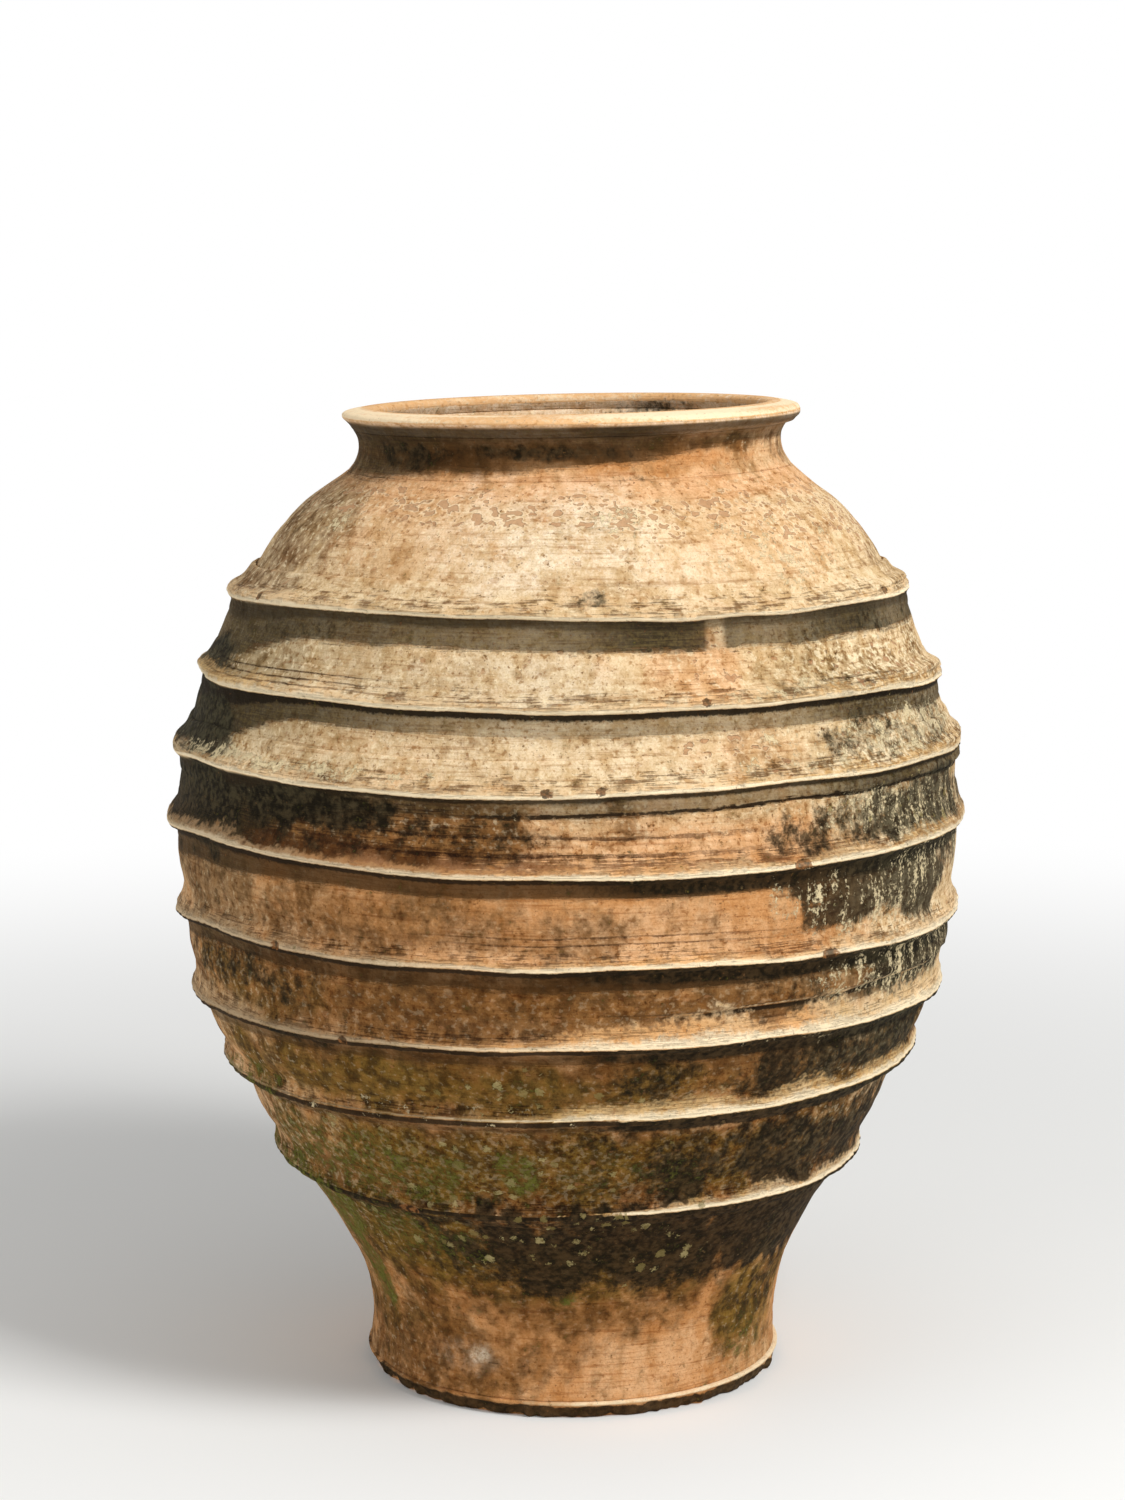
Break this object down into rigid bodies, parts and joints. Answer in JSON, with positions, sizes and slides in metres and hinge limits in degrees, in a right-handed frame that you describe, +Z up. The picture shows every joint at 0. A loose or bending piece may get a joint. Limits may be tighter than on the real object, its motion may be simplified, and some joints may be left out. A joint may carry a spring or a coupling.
{
  "type": "olive jar",
  "caption": "Large free-standing earthenware storage jar with an open everted mouth, a ribbed bulging body of applied drooping bands and a narrow waisted foot.",
  "frame": {"origin": "centre of the foot's underside, which is the plane the jar stands on", "axes": "+Z up along the jar's axis through the mouth; -Y is the side that faces the camera in the picture; +X is to the right in the picture"},
  "size_m": [0.7818, 0.7818, 0.95],
  "materials": {
    "body_clay": "matte",
    "band_clay": "matte"
  },
  "bodies": {
    "root": {"base_slab": "body_clay", "foot_wall": "body_clay", "body_ring_1": "body_clay", "body_ring_2": "body_clay", "body_ring_3": "body_clay", "body_ring_4": "body_clay", "body_ring_5": "body_clay", "body_ring_6": "body_clay", "body_ring_7": "body_clay", "shoulder": "body_clay", "neck": "body_clay", "lip": "body_clay", "band_1": "band_clay", "band_2": "band_clay", "band_3": "band_clay", "band_4": "band_clay", "band_5": "band_clay", "band_6": "band_clay", "band_7": "band_clay", "band_8": "band_clay"}
  },
  "joints": []
}
